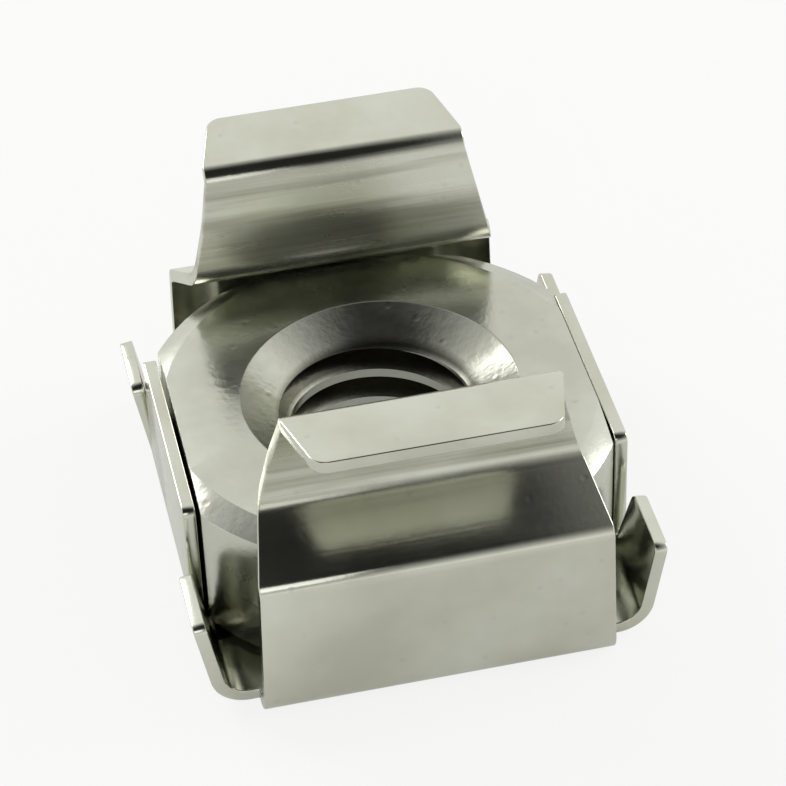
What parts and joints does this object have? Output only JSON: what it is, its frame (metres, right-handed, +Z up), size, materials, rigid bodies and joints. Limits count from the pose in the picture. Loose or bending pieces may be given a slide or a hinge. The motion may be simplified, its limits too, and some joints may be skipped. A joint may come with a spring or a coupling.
{
  "type": "rack cage nut",
  "caption": "Square threaded nut held loosely in a folded spring-steel cage whose lugs snap into a square rack hole.",
  "frame": {"origin": "centre of the base plate's underside, on the axis of the thread", "axes": "+Z up along the thread towards the lugs' grip flaps, +Y towards the rear lug, +X to the right seen from the front lug"},
  "size_m": [0.0126, 0.0148, 0.0089],
  "materials": {
    "spring_cage": "satin nickel plating",
    "square_nut": "dull nickel plating"
  },
  "bodies": {
    "root": {"spring_cage": "spring_cage", "square_nut": "square_nut"}
  },
  "joints": []
}
